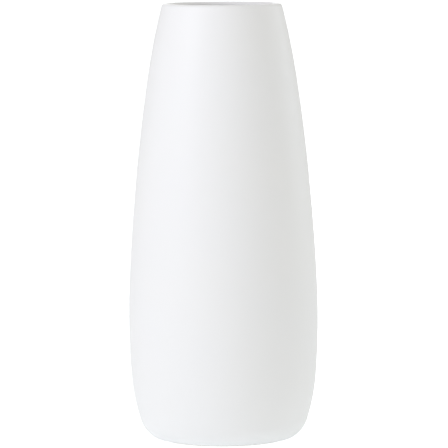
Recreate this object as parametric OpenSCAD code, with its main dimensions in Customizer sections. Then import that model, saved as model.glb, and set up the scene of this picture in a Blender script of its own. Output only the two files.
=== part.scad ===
// Slender ceramic bud vase: a slip-cast clay body, its three coats of glaze and the
// self-adhesive felt pads under its foot. Millimetres, +Z up. The origin is on the
// vase's axis, at the table that the pads stand on.

/* [Vase] */
// Height from the table to the crown of the lip
height = 200; // [195:1:212]
// Outer radius at the belly, the widest place
belly_radius = 43.4; // [42.8:0.1:43.8]
// Height of the belly above the table
belly_height = 57; // [56.8:0.1:59]
// Thickness of the finished wall, glaze included
wall = 3.2; // [2.4:0.1:4]
// Height of the glazed floor inside
floor_height = 5; // [4:0.1:6.5]
// Thickness of each coat of glaze
glaze = 0.25; // [0.1:0.05:0.4]

/* [Side curve, from lip to foot] */
// Radius of the arc below the lip
lip_arc = 346; // [335:1:370]
// Radius of the long, almost straight arc of the side
side_arc = 945; // [920:5:980]
// Radius of the arc through the belly
belly_arc = 352; // [345:1:354]
// Radius of the arc below the belly
lower_arc = 95; // [92:0.5:96]
// Lean of the side where the lip arc meets the side arc, in degrees
lip_lean = 8.15; // [7.8:0.05:8.4]
// Lean of the side where the side arc meets the belly arc, in degrees
side_lean = 2.6; // [2.3:0.1:2.9]
// Undercut where the belly arc meets the lower arc, in degrees
lower_lean = 4.35; // [4.1:0.05:4.4]
// Undercut where the lower arc meets the heel arc, in degrees
heel_lean = 17.4; // [17:0.1:17.7]

/* [Lip] */
// Depth to which the outer glaze runs down inside the mouth
lip_wrap = 7; // [4:0.5:9]

/* [Foot] */
// Outer radius of the flat face that the bare clay foot stands on
foot_radius = 28.4; // [28.2:0.1:29.4]
// Height of the bare clay foot above the table
foot_clear = 0.4; // [0.2:0.1:0.5]
// Rounding of the foot's outer edge
foot_edge = 1.2; // [0.8:0.1:1.4]
// Height above the table at which the outer glaze stops
glaze_line = 1.1; // [1:0.1:1.8]
// Radius of the recess inside the foot ring
recess_radius = 24.2; // [23.5:0.1:24.8]
// Rounding where the foot ring turns up into the recess
recess_edge = 0.5; // [0.3:0.1:0.8]
// Rounding where the recess meets its ceiling
recess_cove = 0.7; // [0.6:0.1:1]

/* [Felt pads] */
// Radius of a felt pad
pad_radius = 5; // [4:0.1:5.6]
// Distance of a pad's centre from the vase's axis
pad_offset = 16.5; // [12:0.1:16.5]
// Thickness of the adhesive film on a pad
film = 0.15; // [0.1:0.01:0.2]
// Margin by which the felt overhangs its adhesive
film_margin = 0.3; // [0:0.1:0.6]

/* [Hidden] */
PADS = [1, 2, 3];
$fn = 96;

MATT_WHITE = [0.95, 0.95, 0.94];
GLOSS_WHITE = [0.97, 0.97, 0.98];
BISQUE = [0.92, 0.89, 0.84];
FELT_GREY = [0.70, 0.69, 0.67];
FILM_CLEAR = [0.86, 0.84, 0.76];

// Steps in each long arc of the side, in the tight heel and in a small rounding
long_steps = 8;
heel_steps = 12;
edge_steps = 5;

// ---- Geometry of the side, as a chain of arcs that are tangent where they meet ----
// A direction is the elevation of the surface's outward normal, in degrees, so it is 0 at
// the belly, positive above it and negative below it. Every coat and every face of the wall
// is an offset of the same chain, so an arc keeps its centre and only its radius changes.

function along(direction) = [cos(direction), sin(direction)];
function arc(centre, radius, from, to, steps) =
    [for (i = [0:steps]) centre + radius * along(from + (to - from) * i / steps)];
function next_centre(centre, radius, new_radius, direction) =
    centre + (radius - new_radius) * along(direction);

belly_centre = [belly_radius - belly_arc, belly_height];
side_centre = next_centre(belly_centre, belly_arc, side_arc, side_lean);
lip_centre = next_centre(side_centre, side_arc, lip_arc, lip_lean);
lower_centre = next_centre(belly_centre, belly_arc, lower_arc, -lower_lean);

// The heel is the one arc that leaves the lower arc and, once the glaze is taken off it,
// runs into the rounded outer edge of the foot
foot_centre = [foot_radius, foot_clear + foot_edge];
heel_start = lower_centre + lower_arc * along(-heel_lean) - foot_centre;
heel_edge = glaze + foot_edge;
heel_arc = (heel_start * heel_start - heel_edge * heel_edge)
    / (2 * (heel_start * along(-heel_lean) - heel_edge));
heel_centre = next_centre(lower_centre, lower_arc, heel_arc, -heel_lean);
foot_direction = atan2(heel_centre.y - foot_centre.y, foot_centre.x - heel_centre.x);

// The lip is a half round as thick as the wall, with its crown at the vase's full height
lip_direction = asin((height - wall / 2 - lip_centre.y) / (lip_arc - wall / 2));
lip_middle = lip_centre + (lip_arc - wall / 2) * along(lip_direction);

// The outer glaze stops on the heel, and turns inwards over the lip
glaze_direction = asin((heel_centre.y - glaze_line) / heel_arc);
wrap_direction = asin((height - lip_wrap - lip_centre.y) / (lip_arc - wall));

// Inside, the lower arc is cut short by a cove that runs level into the floor
cove_radius = (lower_centre.y - (lower_arc - wall) * sin(heel_lean) - floor_height)
    / (1 - sin(heel_lean));
cove_centre = next_centre(lower_centre, lower_arc - wall, cove_radius, -heel_lean);

// Each stretch of the outline below lies its depth under the finished surface of the vase,
// and stops where a coat of glaze stops, so that glaze and clay share their faces exactly.

// The side from one direction on the lip arc down to the end of the lower arc
function side_at(depth, start) = concat(
    arc(lip_centre, lip_arc - depth, start, lip_lean, long_steps),
    arc(side_centre, side_arc - depth, lip_lean, side_lean, long_steps),
    arc(belly_centre, belly_arc - depth, side_lean, -lower_lean, long_steps),
    arc(lower_centre, lower_arc - depth, -lower_lean, -heel_lean, long_steps)
);

// The heel from the lower arc down to the glaze line
function heel_at(depth) =
    arc(heel_centre, heel_arc - depth, -heel_lean, -glaze_direction, heel_steps);

// The half round of the lip, from the outside over to the inside
function lip_at(depth) =
    arc(lip_middle, wall / 2 - depth, lip_direction, lip_direction + 180, 2 * edge_steps);

// The inside of the mouth, from the half round down to the edge of the outer glaze
function mouth_at(depth) =
    arc(lip_centre, lip_arc - wall + depth, lip_direction, wrap_direction, edge_steps);

// The cavity from the edge of the outer glaze down its side, round its cove and to its axis
function cavity_at(depth) = concat(
    side_at(wall - depth, wrap_direction),
    arc(cove_centre, cove_radius + depth, -heel_lean, -90, heel_steps),
    [[0, floor_height - depth]]
);

// The recess under the foot, from its axis out and round its cove to the edge of its glaze,
// which stops above the ring that the vase stood on in the kiln
recess_ceiling = foot_clear + recess_edge + recess_cove;
recess_cove_centre = [recess_radius - recess_cove, recess_ceiling - recess_cove];
recess_glaze_direction = 30;
function recess_at(depth) = concat(
    [[0, recess_ceiling - depth]],
    arc(recess_cove_centre, recess_cove - depth, 90, recess_glaze_direction, edge_steps)
);

function reversed(points) = [for (i = [len(points) - 1:-1:0]) points[i]];

// Points that coincide where two arcs meet are left out, so that no edge has zero length
function distinct(points) =
    [for (i = [0:len(points) - 1])
        if (i == 0 || norm(points[i] - points[i - 1]) > 0.001) points[i]];

module turned(outline) {
    rotate_extrude() polygon(distinct(outline));
}

// Slip-cast in a plaster mould: side, lip, cavity, recess, foot ring and bare heel in turn
module clay_body() {
    color(BISQUE)
        turned(concat(
            reversed(side_at(glaze, lip_direction)),
            lip_at(glaze),
            mouth_at(glaze),
            cavity_at(glaze),
            recess_at(0),
            arc(recess_cove_centre, recess_cove, recess_glaze_direction, 0, edge_steps),
            arc([recess_radius + recess_edge, foot_clear + recess_edge],
                recess_edge, 180, 270, edge_steps),
            arc(foot_centre, foot_edge, -90, -foot_direction, edge_steps),
            arc(heel_centre, heel_arc - glaze, -foot_direction, -glaze_direction, edge_steps),
            reversed(heel_at(glaze))
        ));
}

// Matt glaze: from the glaze line up the outside, over the lip and a little way down inside
module outer_glaze() {
    color(MATT_WHITE)
        turned(concat(
            reversed(heel_at(0)),
            reversed(side_at(0, lip_direction)),
            lip_at(0),
            mouth_at(0),
            reversed(mouth_at(glaze)),
            reversed(lip_at(glaze)),
            side_at(glaze, lip_direction),
            heel_at(glaze)
        ));
}

// Gloss glaze: lines the cavity below the wrapped edge, so that the clay holds water
module inner_glaze() {
    color(GLOSS_WHITE)
        turned(concat(cavity_at(0), reversed(cavity_at(glaze))));
}

// Gloss glaze: seals the ceiling of the recess
module base_glaze() {
    color(GLOSS_WHITE)
        turned(concat(recess_at(glaze), reversed(recess_at(0))));
}

film_top = recess_ceiling - glaze;
film_bottom = film_top - film;
module at_pad(number) {
    rotate(number * 360 / len(PADS) - 90) translate([pad_offset, 0, 0]) children();
}

module pad_adhesive(number) {
    color(FILM_CLEAR)
        at_pad(number)
            translate([0, 0, film_bottom])
                cylinder(r = pad_radius - film_margin, h = film);
}

module felt_pad(number) {
    color(FELT_GREY) at_pad(number) cylinder(r = pad_radius, h = film_bottom);
}

clay_body();
outer_glaze();
inner_glaze();
base_glaze();
for (i = PADS) {
    pad_adhesive(i);
    felt_pad(i);
}
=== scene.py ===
import bpy
import numpy as np
from mathutils import Matrix, Vector


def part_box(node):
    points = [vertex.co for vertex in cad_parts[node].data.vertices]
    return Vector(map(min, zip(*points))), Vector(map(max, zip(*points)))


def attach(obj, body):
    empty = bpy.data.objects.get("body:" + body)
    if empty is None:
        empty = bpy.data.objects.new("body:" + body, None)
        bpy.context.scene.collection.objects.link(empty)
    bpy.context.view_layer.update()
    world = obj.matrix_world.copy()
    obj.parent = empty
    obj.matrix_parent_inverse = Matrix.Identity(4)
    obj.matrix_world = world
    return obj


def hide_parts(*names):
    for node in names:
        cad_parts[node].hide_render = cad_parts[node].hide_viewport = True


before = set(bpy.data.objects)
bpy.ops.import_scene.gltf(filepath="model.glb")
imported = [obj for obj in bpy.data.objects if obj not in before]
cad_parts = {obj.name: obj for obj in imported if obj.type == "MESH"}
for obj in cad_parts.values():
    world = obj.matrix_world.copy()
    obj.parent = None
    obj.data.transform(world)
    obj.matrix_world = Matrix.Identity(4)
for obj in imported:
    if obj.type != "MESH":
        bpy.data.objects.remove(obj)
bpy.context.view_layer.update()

# ---- Clay body ------------------------------------------------------------------------
# One piece of white stoneware, cast from slip in a plaster mould, sponged smooth by hand
# when leather hard, and fired. It is glazed all over but for the foot ring and the heel
# just above it, which stood on the kiln shelf and stay bare.

mm = 0.001
degree = np.pi / 180

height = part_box("outer_glaze")[1].z
belly_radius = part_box("outer_glaze")[1].x
belly_height = 57 * mm
wall = 3.2 * mm
floor_height = 5 * mm
glaze = 0.25 * mm

lip_arc, side_arc, belly_arc, lower_arc = 346 * mm, 945 * mm, 352 * mm, 95 * mm
lip_lean, side_lean, lower_lean, heel_lean = (
    lean * degree for lean in (8.15, 2.6, -4.35, -17.4)
)

foot_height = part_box("clay_body")[0].z
foot_edge = 1.2 * mm
foot_radius = 28.4 * mm
glaze_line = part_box("outer_glaze")[0].z
lip_wrap = 7 * mm

recess_radius = 24.2 * mm
recess_edge = 0.5 * mm
recess_cove = 0.7 * mm
recess_ceiling = foot_height + recess_edge + recess_cove
recess_glaze_direction = 30 * degree

around = 256
turn = np.linspace(0, 2 * np.pi, around, endpoint=False)


def along(direction):
    """The unit vector (cos, sin) of each direction, in (radius, height)."""
    return np.stack([np.cos(direction), np.sin(direction)], axis=-1)


def arc(centre, radius, start, end, steps):
    """Points round a centre, in equal steps from one direction up to, but not at, another.
    Either direction may differ with the turn about the vase's axis, so the result is a
    grid of steps by turns."""
    share = np.arange(steps)[:, None] / steps
    return centre + radius * along(start + (end - start) * share + 0 * turn)


def level_line(start, end, level, steps):
    """Points at one height, in equal steps from one radius up to, but not at, another."""
    share = np.arange(steps)[:, None] / steps
    radius = start + (end - start) * share + 0 * turn
    return np.stack([radius, np.full_like(radius, level)], axis=-1)


def next_centre(centre, radius, new_radius, direction):
    """The centre of an arc that goes on, tangent, from another in that direction: the old
    centre moved along the direction by the old radius less the new one."""
    return centre + (radius - new_radius) * along(direction)


belly_centre = np.array([belly_radius - belly_arc, belly_height])
side_centre = next_centre(belly_centre, belly_arc, side_arc, side_lean)
lip_centre = next_centre(side_centre, side_arc, lip_arc, lip_lean)
lower_centre = next_centre(belly_centre, belly_arc, lower_arc, lower_lean)

# The heel is the one arc that leaves the lower arc and, with the glaze taken off it, runs
# into the rounded outer edge of the foot
foot_centre = np.array([foot_radius, foot_height + foot_edge])
heel_start = lower_centre + lower_arc * along(heel_lean) - foot_centre
heel_edge = glaze + foot_edge
heel_arc = (heel_start @ heel_start - heel_edge**2) / (
    2 * (heel_start @ along(heel_lean) - heel_edge)
)
heel_centre = next_centre(lower_centre, lower_arc, heel_arc, heel_lean)
foot_direction = np.arctan2(*(foot_centre - heel_centre)[::-1])

# The lip is a half round as thick as the wall, with its crown at the vase's full height
lip_direction = np.arcsin((height - wall / 2 - lip_centre[1]) / (lip_arc - wall / 2))
lip_middle = lip_centre + (lip_arc - wall / 2) * along(lip_direction)

# A sponge wiped the glaze back from the foot, and the outer glaze ends inside the mouth
# where the vase was held in the dip, so both edges wander a little round the vase
line_wander = 0.10 * mm * np.cos(3 * turn + 1.1) + 0.05 * mm * np.cos(7 * turn + 4.0)
wrap_wander = 0.35 * mm * np.cos(2 * turn + 0.4) + 0.2 * mm * np.cos(5 * turn + 2.2)
glaze_direction = np.arcsin((glaze_line + line_wander - heel_centre[1]) / heel_arc)
wrap_direction = np.arcsin(
    (height - lip_wrap + wrap_wander - lip_centre[1]) / (lip_arc - wall)
)

# Inside, the lower arc is cut short by a cove that runs level into the floor
cove_radius = (lower_centre[1] + (lower_arc - wall) * np.sin(heel_lean) - floor_height) / (
    1 + np.sin(heel_lean)
)
cove_centre = next_centre(lower_centre, lower_arc - wall, cove_radius, heel_lean)
recess_cove_centre = np.array([recess_radius - recess_cove, foot_height + recess_edge])
recess_edge_centre = np.array([recess_radius + recess_edge, foot_height + recess_edge])


def side_up(depth, fineness=1.0):
    """The side at a depth under the finished surface, from the heel up to the lip."""
    steps = [round(fineness * count) for count in (22, 36, 72, 32)]
    return np.concatenate([
        arc(lower_centre, lower_arc - depth, heel_lean, lower_lean, steps[0]),
        arc(belly_centre, belly_arc - depth, lower_lean, side_lean, steps[1]),
        arc(side_centre, side_arc - depth, side_lean, lip_lean, steps[2]),
        arc(lip_centre, lip_arc - depth, lip_lean, lip_direction, steps[3]),
    ])


def over_lip(depth, steps=20):
    """The half round of the lip at that depth, from the outside over to the inside."""
    return arc(lip_middle, wall / 2 - depth, lip_direction, lip_direction + np.pi, steps)


def cavity_down(depth, fineness=1.0):
    """The cavity at a depth under its finished surface, from the edge of the outer glaze
    down its side, round its cove and over its floor to the axis."""
    steps = [round(fineness * count) for count in (26, 72, 36, 22, 20, 12)]
    inside = wall - depth
    return np.concatenate([
        arc(lip_centre, lip_arc - inside, wrap_direction, lip_lean, steps[0]),
        arc(side_centre, side_arc - inside, lip_lean, side_lean, steps[1]),
        arc(belly_centre, belly_arc - inside, side_lean, lower_lean, steps[2]),
        arc(lower_centre, lower_arc - inside, lower_lean, heel_lean, steps[3]),
        arc(cove_centre, cove_radius + depth, heel_lean, -np.pi / 2, steps[4]),
        level_line(cove_centre[0], 0, floor_height - depth, steps[5]),
    ])


def recess_out(depth, steps):
    """The glazed part of the recess under the foot at that depth, from near its axis out
    to its cove and round that to the edge of its glaze."""
    inner = recess_cove_centre[0] / steps
    return np.concatenate([
        level_line(inner, recess_cove_centre[0], recess_ceiling - depth, steps),
        arc(recess_cove_centre, recess_cove - depth, np.pi / 2, recess_glaze_direction, 8),
    ])


def out_of_round(level):
    """How far the vase is from true, as a share of its radius, at each turn and level: the
    sum of a few waves round the axis whose crests wind slowly up it, as a cast piece warps
    in the kiln, less the most that they reach, so that it only ever lies inside true."""
    up = 2 * np.pi * level / height
    waves = (
        0.0006 * np.cos(2 * turn + 0.4 * up)
        + 0.0004 * np.cos(3 * turn - 0.7 * up + 1.3)
        + 0.0003 * np.cos(5 * turn + 1.1 * up + 0.5)
        + 0.0002 * np.cos(8 * turn - 2.0 * up + 2.1)
    )
    return waves - 0.0015


def ring_quads(index):
    """Quads between neighbours in a grid of point numbers whose columns close round."""
    low, high = index[:-1], index[1:]
    quads = np.stack([low, np.roll(low, -1, 1), np.roll(high, -1, 1), high], axis=-1)
    return quads.reshape(-1, 4).tolist()


def fan(ring, pole, upward):
    """Triangles from each edge of a ring of point numbers to a pole, facing up or down."""
    ahead = np.roll(ring, -1)
    edge = (ring, ahead) if upward else (ahead, ring)
    return np.stack([*edge, np.full_like(ring, pole)], axis=-1).tolist()


def new_piece(name, points, faces):
    """An object at the origin, with a smooth-shaded mesh of these points and faces."""
    mesh = bpy.data.meshes.new(name)
    mesh.from_pydata(points.tolist(), [], faces)
    mesh.polygons.foreach_set("use_smooth", np.ones(len(mesh.polygons), bool))
    piece = bpy.data.objects.new(name, mesh)
    bpy.context.scene.collection.objects.link(piece)
    return piece


def turned(name, outline):
    """The surface that an outline sweeps round the axis: its point at radius r and height z
    goes to (r cos t, r sin t, z) at turn t, with r made a little out of round. An outline
    runs with the material on its left. One that starts and ends on the axis is closed by a
    fan at each pole, and any other is closed into a loop."""
    radius, level = outline[..., 0], outline[..., 1]
    radius = radius * (1 + out_of_round(level))
    rings = np.stack([radius * np.cos(turn), radius * np.sin(turn), level], axis=-1)
    if outline[0, 0, 0] > 0:
        index = np.arange(rings[..., 0].size).reshape(level.shape)
        faces = ring_quads(np.concatenate([index, index[:1]]))
        return new_piece(name, rings.reshape(-1, 3), faces)
    poles = rings[[0, -1], 0]
    points = np.concatenate([poles, rings[1:-1].reshape(-1, 3)])
    index = 2 + np.arange(len(points) - 2).reshape(-1, around)
    faces = ring_quads(index) + fan(index[0], 0, False) + fan(index[-1], 1, True)
    return new_piece(name, points, faces)


body = turned("stoneware_body", np.concatenate([
    level_line(0, 0, recess_ceiling, 1),
    recess_out(0, 12),
    arc(recess_cove_centre, recess_cove, recess_glaze_direction, 0, 4),
    arc(recess_edge_centre, recess_edge, np.pi, 1.5 * np.pi, 8),
    level_line(recess_edge_centre[0], foot_radius, foot_height, 8),
    arc(foot_centre, foot_edge, -np.pi / 2, foot_direction, 4),
    arc(heel_centre, heel_arc - glaze, foot_direction, glaze_direction, 6),
    arc(heel_centre, heel_arc - glaze, glaze_direction, heel_lean, 20),
    side_up(glaze, 0.5),
    over_lip(glaze, 12),
    arc(lip_centre, lip_arc - wall + glaze, lip_direction, wrap_direction, 7),
    cavity_down(glaze, 0.5),
    level_line(0, 0, floor_height - glaze, 1),
]))


class Finish:
    """A material and its shader, with one call for each kind of pattern a finish needs."""

    def __init__(self, name, **sockets):
        self.material = bpy.data.materials.new(name)
        self.material.use_nodes = True
        self.tree = self.material.node_tree
        self.shader = self.tree.nodes["Principled BSDF"]
        for socket, value in sockets.items():
            self.shader.inputs[socket.replace("_", " ")].default_value = value
        self.place = self.node("TexCoord").outputs["Object"]

    def node(self, kind, **settings):
        """A shader node of that kind."""
        made = self.tree.nodes.new("ShaderNode" + kind)
        for setting, value in settings.items():
            setattr(made, setting, value)
        return made

    def feed(self, socket, value):
        """Links an output to a socket, or sets the socket to a plain value."""
        if isinstance(value, bpy.types.NodeSocket):
            self.tree.links.new(value, socket)
        else:
            socket.default_value = value

    def stretched(self, scale):
        """The place on the piece, with each axis multiplied by its own scale."""
        mapping = self.node("Mapping")
        self.feed(mapping.inputs["Vector"], self.place)
        self.feed(mapping.inputs["Scale"], scale)
        return mapping.outputs["Vector"]

    def noise(self, size, detail=2.0, place=None):
        """Smooth noise from 0 to 1 whose patches are about that size, in metres."""
        made = self.node("TexNoise")
        self.feed(made.inputs["Vector"], place or self.place)
        self.feed(made.inputs["Scale"], 1 / size)
        self.feed(made.inputs["Detail"], detail)
        return made.outputs[0]

    def specks(self, spacing):
        """The distance to the nearest of many scattered points: 0 is on a point, and 1 is
        as far from it as the points are apart, in metres."""
        made = self.node("TexVoronoi")
        self.feed(made.inputs["Vector"], self.place)
        self.feed(made.inputs["Scale"], 1 / spacing)
        return made.outputs["Distance"]

    def mapped(self, value, low, high, to_low, to_high):
        """The value eased from to_low, at low and under, to to_high, at high and over."""
        made = self.node("MapRange", interpolation_type="SMOOTHSTEP")
        for socket, number in zip(made.inputs, (value, low, high, to_low, to_high)):
            self.feed(socket, number)
        return made.outputs["Result"]

    def mix(self, share, first, second):
        """The first colour where share is 0, and the second where it is 1."""
        made = self.node("Mix", data_type="RGBA")
        for socket, value in zip((0, 6, 7), (share, first, second)):
            self.feed(made.inputs[socket], value)
        return made.outputs[2]

    def colour(self, value):
        self.feed(self.shader.inputs["Base Color"], value)

    def roughness(self, value):
        self.feed(self.shader.inputs["Roughness"], value)

    def relief(self, *layers):
        """Bumps, each a pattern and its depth in metres, laid one on another."""
        normal = None
        for pattern, depth in layers:
            made = self.node("Bump")
            self.feed(made.inputs["Height"], pattern)
            self.feed(made.inputs["Distance"], depth)
            if normal:
                self.feed(made.inputs["Normal"], normal)
            normal = made.outputs["Normal"]
        self.feed(self.shader.inputs["Normal"], normal)


def bare_stoneware():
    """Dry, fine-grained clay: a warm off-white, mottled, with sparse darker grains."""
    finish = Finish("bare_stoneware", IOR=1.5, Specular_IOR_Level=0.25)
    cloud = finish.noise(6 * mm, detail=4)
    ground = finish.mix(cloud, (0.75, 0.71, 0.64, 1), (0.83, 0.79, 0.73, 1))
    grain = finish.mapped(finish.specks(0.9 * mm), 0.0, 0.22, 0.5, 0.0)
    finish.colour(finish.mix(grain, ground, (0.45, 0.37, 0.28, 1)))
    finish.roughness(finish.mapped(cloud, 0.3, 0.7, 0.78, 0.92))
    finish.relief(
        (finish.noise(1.5 * mm), 0.05 * mm),
        (finish.noise(0.25 * mm, detail=3), 0.03 * mm),
    )
    return finish.material


body.data.materials.append(bare_stoneware())
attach(body, "root")
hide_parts("clay_body")

# ---- Outer glaze ----------------------------------------------------------------------
# A coat of matt white glaze, dipped upside down so that it runs a little way into the
# mouth, and wiped off the foot. It is fused to the clay, a quarter of a millimetre thick,
# and draws up into a soft roll along the wiped edge.

edge_roll = 0.08 * mm
roll_spread = 0.7 * mm


def glazed_heel(steps):
    """The face of the glaze on the heel, from the glaze line up to the lower arc. Over the
    true heel it swells by the roll times x exp(1 - x), where x is the height above the
    glaze line in spreads: nothing at the line, most at one spread, and fading above."""
    path = arc(heel_centre, heel_arc, glaze_direction, heel_lean, steps)
    above = (path[..., 1] - path[:1, :, 1]) / roll_spread
    swell = edge_roll * above * np.exp(1 - above)
    return path + (swell / heel_arc)[..., None] * (path - heel_centre)


def soft_edge(centre, start, end, direction, reach, steps=6):
    """The rounded edge of a coat, from the radius of one of its faces to the radius of the
    other: half an ellipse that stands out past the direction where the coat stops by the
    reach, positive towards greater directions."""
    swing = np.arange(1, steps)[:, None] / steps * np.pi + 0 * turn
    radius = (start + end) / 2 + (start - end) / 2 * np.cos(swing)
    bulge = reach * np.sin(swing) / radius
    return centre + radius[..., None] * along(direction + bulge)


coat = turned("matt_coat", np.concatenate([
    glazed_heel(40),
    side_up(0),
    over_lip(0),
    arc(lip_centre, lip_arc - wall, lip_direction, wrap_direction, 14),
    arc(lip_centre, lip_arc - wall + glaze, wrap_direction, lip_direction, 7),
    over_lip(glaze, 12)[::-1],
    side_up(glaze, 0.5)[::-1],
    arc(heel_centre, heel_arc - glaze, glaze_direction, heel_lean, 20)[::-1],
    soft_edge(heel_centre, heel_arc - glaze, heel_arc, glaze_direction, -glaze / 2),
]))


def matt_white_glaze():
    """Matt glaze: white with faint warm and cool clouds and rare pale grey specks, a skin
    like eggshell, and faint upright marks of the sponge under it."""
    finish = Finish("matt_white_glaze", IOR=1.5)
    cloud = finish.noise(38 * mm, detail=3)
    white = finish.mix(cloud, (0.852, 0.856, 0.862, 1), (0.872, 0.870, 0.862, 1))
    speck = finish.mapped(finish.specks(9 * mm), 0.0, 0.035, 0.3, 0.0)
    finish.colour(finish.mix(speck, white, (0.62, 0.60, 0.56, 1)))
    finish.roughness(finish.mapped(finish.noise(5 * mm, detail=3), 0.3, 0.7, 0.42, 0.50))
    finish.relief(
        (finish.noise(4 * mm, place=finish.stretched((1.0, 1.0, 0.06))), 0.010 * mm),
        (finish.noise(2.2 * mm, detail=1), 0.008 * mm),
        (finish.noise(0.5 * mm), 0.003 * mm),
    )
    return finish.material


coat.data.materials.append(matt_white_glaze())
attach(coat, "root")
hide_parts("outer_glaze")

# ---- Liner glaze ----------------------------------------------------------------------
# A gloss white glaze poured in and out again, so that the clay holds water. It meets the
# outer glaze a little way inside the mouth and lies level on the floor.

liner = turned("gloss_liner", np.concatenate([
    level_line(0, 0, floor_height - glaze, 1),
    cavity_down(glaze, 0.5)[::-1],
    cavity_down(0),
    level_line(0, 0, floor_height, 1),
]))


def gloss_white_glaze(name, ripple):
    """Gloss glaze: a clear skin over white, with the slow ripple of a flowed coat."""
    finish = Finish(name, IOR=1.52)
    cloud = finish.noise(25 * mm)
    finish.colour(finish.mix(cloud, (0.86, 0.865, 0.87, 1), (0.89, 0.888, 0.88, 1)))
    finish.roughness(finish.mapped(cloud, 0.3, 0.7, 0.12, 0.2))
    finish.relief(
        (finish.noise(9 * mm, detail=1), ripple),
        (finish.noise(1.2 * mm, detail=1), 0.003 * mm),
    )
    return finish.material


liner.data.materials.append(gloss_white_glaze("poured_liner_glaze", 0.03 * mm))
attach(liner, "root")
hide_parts("inner_glaze")

# ---- Base glaze -----------------------------------------------------------------------
# The same gloss glaze, brushed over the shallow recess under the foot to seal it. It stops
# on the recess's cove, above the bare ring that the vase stood on in the kiln.

sealer = turned("gloss_base_coat", np.concatenate([
    level_line(0, 0, recess_ceiling - glaze, 1),
    recess_out(glaze, 24),
    soft_edge(
        recess_cove_centre, recess_cove - glaze, recess_cove, recess_glaze_direction,
        -glaze / 4,
    ),
    recess_out(0, 12)[::-1],
    level_line(0, 0, recess_ceiling, 1),
]))
sealer.data.materials.append(gloss_white_glaze("brushed_base_glaze", 0.06 * mm))
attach(sealer, "root")
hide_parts("base_glaze")

# ---- Adhesive films -------------------------------------------------------------------
# Each felt pad comes with its own disc of pale acrylic adhesive. Pressed home, it squeezes
# to a slightly wavy rim and holds the pad to the glazed ceiling of the recess.

pad_numbers = (1, 2, 3)
pad_around = 72
pad_turn = np.linspace(0, 2 * np.pi, pad_around, endpoint=False)


def pressed_disc(node, section, rim, relief=0.0):
    """The points and faces of a closed disc in the box of a CAD node. Its section is a list
    of (share of the radius, share of the height), from the lower pole out, round the rim
    and in to the upper pole. At each turn the radius is the share times rim times that of
    the box, and the height is raised by the relief."""
    low, high = (np.array(corner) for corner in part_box(node))
    middle = (low + high) / 2
    share, lift = np.array(section).T[:, :, None]
    radius = share * rim * (high[0] - low[0]) / 2
    level = low[2] + (high[2] - low[2]) * lift + relief + 0 * pad_turn
    rings = np.stack([
        middle[0] + radius * np.cos(pad_turn),
        middle[1] + radius * np.sin(pad_turn),
        level,
    ], axis=-1)
    points = np.concatenate([rings[[0, -1], 0], rings[1:-1].reshape(-1, 3)])
    index = 2 + np.arange(len(points) - 2).reshape(-1, pad_around)
    faces = ring_quads(index) + fan(index[0], 0, False) + fan(index[-1], 1, True)
    return points, faces


film_section = [
    (0, 0), (0.4, 0), (0.8, 0), (0.96, 0), (0.985, 0.12), (1, 0.5),
    (0.985, 0.88), (0.96, 1), (0.8, 1), (0.4, 1), (0, 1),
]


def pale_adhesive():
    """Pressure-sensitive acrylic: pale straw, cloudy, and slightly rippled."""
    finish = Finish("pale_adhesive", IOR=1.47)
    cloud = finish.noise(1.6 * mm, detail=3)
    finish.colour(finish.mix(cloud, (0.80, 0.76, 0.66, 1), (0.86, 0.83, 0.75, 1)))
    finish.roughness(finish.mapped(cloud, 0.3, 0.7, 0.35, 0.55))
    finish.relief((finish.noise(0.6 * mm), 0.02 * mm))
    return finish.material


adhesive_finish = pale_adhesive()
for number in pad_numbers:
    film_rim = 0.985 + 0.01 * np.cos(5 * pad_turn + number) + 0.005 * np.cos(11 * pad_turn)
    film = new_piece(
        f"adhesive_film_{number}",
        *pressed_disc(f"pad_adhesive_{number}", film_section, film_rim),
    )
    film.data.materials.append(adhesive_finish)
    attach(film, "root")
    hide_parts(f"pad_adhesive_{number}")

# ---- Felt pads ------------------------------------------------------------------------
# Three discs of pressed grey wool felt, die-cut from sheet, so their rims are square and a
# little hairy. They stick out under the foot ring and keep the bare clay off the table.

felt_section = [
    (0, 0), (0.12, 0), (0.24, 0), (0.36, 0), (0.48, 0), (0.6, 0), (0.7, 0), (0.8, 0),
    (0.88, 0), (0.94, 0.01), (0.975, 0.04), (0.995, 0.12), (1, 0.25), (0.998, 0.4),
    (1, 0.55), (0.998, 0.7), (0.995, 0.85), (0.985, 0.95), (0.96, 1), (0.7, 1), (0.4, 1),
    (0, 1),
]
felt_underside = np.array([lift == 0 for share, lift in felt_section])[:, None]
fibre_count = 420
fibre_radius = 0.011 * mm
fibre_rings = 7
fibre_sides = 3


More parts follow.
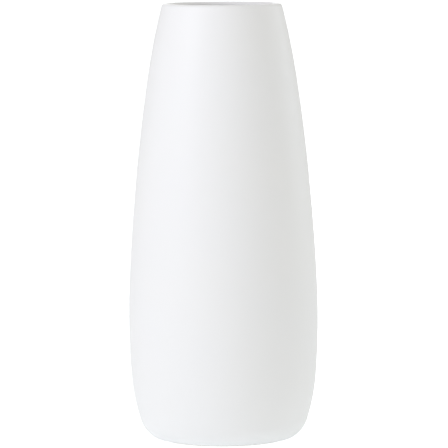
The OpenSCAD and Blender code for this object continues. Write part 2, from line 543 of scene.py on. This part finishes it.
def hair(random, node, taken):
    """The points and faces of the loose fibres of one pad: thin three-sided tubes, pointed
    at both ends, numbered from the count of points already taken. A fibre follows the rim
    of its pad for a short way, bows out of it by its bow times sin(pi s) at share s of its
    length, and climbs or sinks a little."""
    low, high = (np.array(corner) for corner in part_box(node))
    middle = (low + high) / 2
    start, span, climb, bow, lift = random.random((5, fibre_count, 1))
    share = np.linspace(0, 1, fibre_rings + 2)
    angle = 2 * np.pi * start + (span - 0.5) * 0.5 * share
    radius = (high[0] - low[0]) / 2 * (
        0.965 + (0.01 + 0.035 * bow**2) * np.sin(np.pi * share)
    )
    rise = 0.1 + 0.78 * lift + 0.12 * (climb - 0.5) * share
    across = np.stack([np.cos(angle), np.sin(angle), 0 * angle], axis=-1)
    path = middle + across * radius[..., None]
    path[..., 2] = low[2] + (high[2] - low[2]) * rise

    side = 2 * np.pi * np.arange(fibre_sides)[:, None] / fibre_sides
    upright = np.array([0.0, 0.0, 1.0])
    ring = np.cos(side) * across[:, 1:-1, None] + np.sin(side) * upright
    tubes = path[:, 1:-1, None] + fibre_radius * ring
    tubes = tubes.reshape(fibre_count, fibre_rings * fibre_sides, 3)
    points = np.concatenate([path[:, :1], tubes, path[:, -1:]], axis=1)

    grid = 1 + np.arange(fibre_rings * fibre_sides).reshape(fibre_rings, fibre_sides)
    ahead = np.roll(grid, -1, 1)
    tip = grid.size + 1
    quads = np.stack([grid[:-1], grid[1:], ahead[1:], ahead[:-1]], axis=-1).reshape(-1, 4)
    first = np.stack([0 * grid[0], grid[0], ahead[0]], axis=-1)
    last = np.stack([grid[-1], 0 * grid[-1] + tip, ahead[-1]], axis=-1)
    # A fibre that runs back round the rim has its rings turned over, and so its faces too
    backward = (span < 0.5)[:, :, None]
    number = taken + (tip + 1) * np.arange(fibre_count)[:, None, None]
    faces = []
    for corners in (quads, first, last):
        facing = np.where(backward, corners[None, :, ::-1], corners[None]) + number
        faces += facing.reshape(-1, corners.shape[1]).tolist()
    return points.reshape(-1, 3), faces


def wool_felt():
    """Pressed wool: a tangle of lighter and darker grey fibres, matt, with a soft bloom."""
    finish = Finish("grey_wool_felt", Specular_IOR_Level=0.1, Sheen_Weight=0.3)
    tangle = finish.noise(0.5 * mm, detail=5)
    strands = finish.noise(0.9 * mm, detail=3, place=finish.stretched((0.25, 1.0, 1.0)))
    crossing = finish.noise(0.9 * mm, detail=3, place=finish.stretched((1.0, 0.25, 1.0)))
    wool = finish.mix(tangle, (0.48, 0.47, 0.45, 1), (0.70, 0.69, 0.66, 1))
    pale = finish.mapped(strands, 0.55, 0.75, 0.0, 0.6)
    finish.colour(finish.mix(pale, wool, (0.80, 0.79, 0.76, 1)))
    finish.roughness(finish.mapped(crossing, 0.3, 0.7, 0.88, 1.0))
    finish.relief((strands, 0.08 * mm), (crossing, 0.08 * mm), (tangle, 0.05 * mm))
    return finish.material


felt_finish = wool_felt()
random = np.random.default_rng(20)
for number in pad_numbers:
    ragged = random.normal(0, 0.004, pad_around)
    dents = random.random((len(felt_section), pad_around)) * felt_underside * 0.05 * mm
    disc, disc_faces = pressed_disc(
        f"felt_pad_{number}", felt_section, 0.97 + ragged, dents
    )
    fibres, fibre_faces = hair(random, f"felt_pad_{number}", len(disc))
    pad = new_piece(
        f"felt_disc_{number}", np.concatenate([disc, fibres]), disc_faces + fibre_faces
    )
    pad.data.materials.append(felt_finish)
    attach(pad, "root")
    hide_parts(f"felt_pad_{number}")

# ---- Table, light and camera ----------------------------------------------------------
# The vase stands on a wide white table in an even white studio. A large soft light at its
# left makes that side the brightest, and the right side turns grey but for its edge.

table_reach = 14.0
table_glow = 0.415
table_overexposure = 0.6
corners = np.array([(-1, -1, 0), (1, -1, 0), (1, 1, 0), (-1, 1, 0)]) * table_reach
table = new_piece("table", corners, [(0, 1, 2, 3)])
table_finish = Finish("white_table", Roughness=0.9, Specular_IOR_Level=0.1)
table_grain = table_finish.noise(2 * mm)
table_finish.colour(
    table_finish.mix(table_grain, (0.73, 0.73, 0.73, 1), (0.75, 0.75, 0.75, 1))
)
# The table is overexposed, so pure white to the camera, but it lights the vase no more
seen = table_finish.node("LightPath").outputs["Is Camera Ray"]
table_finish.feed(
    table_finish.shader.inputs["Emission Strength"],
    table_finish.mapped(seen, 0, 1, table_glow, table_glow + table_overexposure),
)
table_finish.feed(table_finish.shader.inputs["Emission Color"], (0.91, 0.97, 1.0, 1))
table.data.materials.append(table_finish.material)


def soft_light(name, place, width, tall, power, colour):
    """A rectangle of light at a place in metres, that faces the middle of the vase."""
    light = bpy.data.lights.new(name, "AREA")
    light.shape = "RECTANGLE"
    light.size, light.size_y = width, tall
    light.energy = power
    light.color = colour
    holder = bpy.data.objects.new(name, light)
    holder.visible_camera = False
    gaze = Vector((0, 0, height / 2)) - Vector(place)
    facing = gaze.to_track_quat("-Z", "Y").to_matrix().to_4x4()
    holder.matrix_world = Matrix.Translation(place) @ facing
    bpy.context.scene.collection.objects.link(holder)


soft_light("key_light", (-0.95, -0.65, 0.75), 0.8, 0.8, 5.9, (0.86, 0.87, 1.0))
soft_light("front_light", (-0.15, -0.85, 1.15), 0.8, 0.8, 2.8, (0.86, 0.88, 1.0))
soft_light("edge_light", (1.21, 0.7, 0.55), 0.8, 1.0, 3.6, (0.88, 0.92, 1.0))
soft_light("back_light", (0, 1.4, 0.55), 0.8, 1.0, 4.6, (0.93, 0.97, 1.0))

studio_glow = 0.53
studio_overexposure = 0.77
studio = bpy.data.worlds.new("studio")
studio.use_nodes = True
backdrop = studio.node_tree.nodes["Background"]
backdrop.inputs["Color"].default_value = (1.0, 0.97, 0.885, 1)
# The backdrop is overexposed to the camera as well
seen = studio.node_tree.nodes.new("ShaderNodeLightPath").outputs["Is Camera Ray"]
exposure = studio.node_tree.nodes.new("ShaderNodeMapRange")
exposure.inputs["To Min"].default_value = studio_glow
exposure.inputs["To Max"].default_value = studio_glow + studio_overexposure
studio.node_tree.links.new(seen, exposure.inputs["Value"])
studio.node_tree.links.new(exposure.outputs["Result"], backdrop.inputs["Strength"])
bpy.context.scene.world = studio
bpy.context.scene.view_settings.view_transform = "Standard"

camera = bpy.data.objects.new("camera", bpy.data.cameras.new("camera"))
camera.data.lens = 307
camera.data.sensor_width = 36
camera.data.clip_end = 40
bpy.context.scene.collection.objects.link(camera)
bpy.context.scene.camera = camera
camera_place = Vector((0, -1.742, 0.2565))
camera_aim = Vector((0.0005, 0, 0.099))
camera_roll = Matrix.Rotation(-0.3 * degree, 4, "Z")
sight = (camera_aim - camera_place).to_track_quat("-Z", "Y").to_matrix().to_4x4()
camera.matrix_world = Matrix.Translation(camera_place) @ sight @ camera_roll
